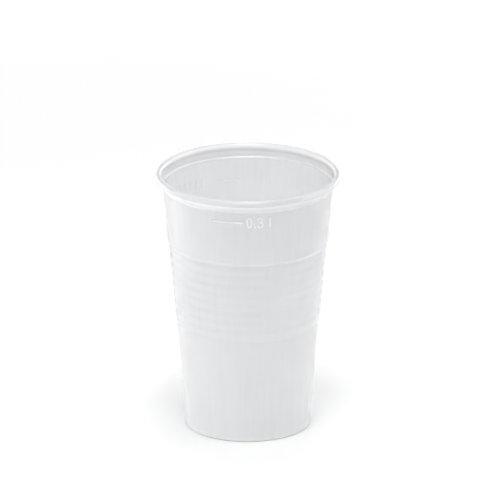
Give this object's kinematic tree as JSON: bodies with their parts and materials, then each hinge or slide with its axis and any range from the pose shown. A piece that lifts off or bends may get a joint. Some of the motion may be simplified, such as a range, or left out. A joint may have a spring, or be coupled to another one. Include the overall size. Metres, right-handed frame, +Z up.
{
  "type": "plastic cup",
  "caption": "Tapered one-piece drinking cup with a rolled lip, a stacking shoulder, stiffening rings round the wall and a raised fill line; it is open at the top.",
  "frame": {"origin": "centre of the foot ring, on the surface that the cup stands on", "axes": "+Z up along the cup's axis, -Y towards the side with the fill line"},
  "size_m": [0.078, 0.078, 0.111],
  "materials": {
    "milky_plastic": "milky white polypropylene sheet, satin gloss, slightly translucent"
  },
  "bodies": {
    "root": {"cup": "milky_plastic"}
  },
  "joints": []
}
